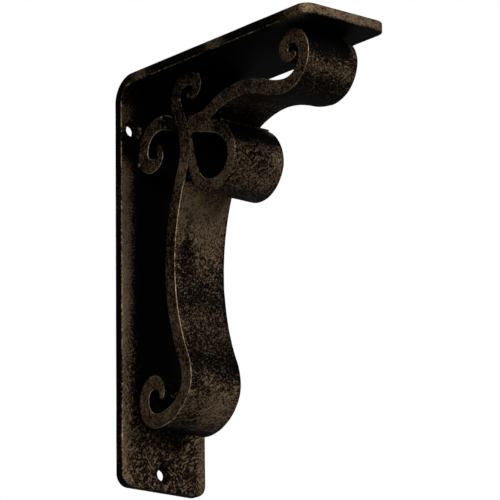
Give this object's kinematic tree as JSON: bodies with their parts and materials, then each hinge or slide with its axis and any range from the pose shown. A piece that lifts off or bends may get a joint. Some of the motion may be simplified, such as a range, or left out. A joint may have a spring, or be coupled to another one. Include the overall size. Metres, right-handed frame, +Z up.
{
  "type": "scroll bracket",
  "caption": "Shelf or countertop bracket: a flat bar bent to a right angle, braced inside the angle by forged scrolls of flat bar.",
  "frame": {"origin": "middle of the wall plate's back face, where the bracket meets the wall", "axes": "+Z up, -Y out from the wall along the shelf plate, X across the bracket's width"},
  "size_m": [0.0508, 0.144, 0.2032],
  "materials": {
    "iron": "dark bronze paint over wrought iron, mottled and rubbed through to a warm grey-brown, lighter along the edges",
    "weld": "weld beads under the same dark bronze paint, rubbed on their crests"
  },
  "bodies": {
    "root": {"strap": "iron", "leg_scroll": "iron", "rear_scroll": "iron", "ring_scroll": "iron", "front_scroll": "iron", "weld_foot_lower": "weld", "weld_foot_upper": "weld", "weld_rear_lower": "weld", "weld_rear_upper": "weld", "weld_head_back": "weld", "weld_head_front": "weld", "weld_front_back": "weld", "weld_front_front": "weld"}
  },
  "joints": []
}
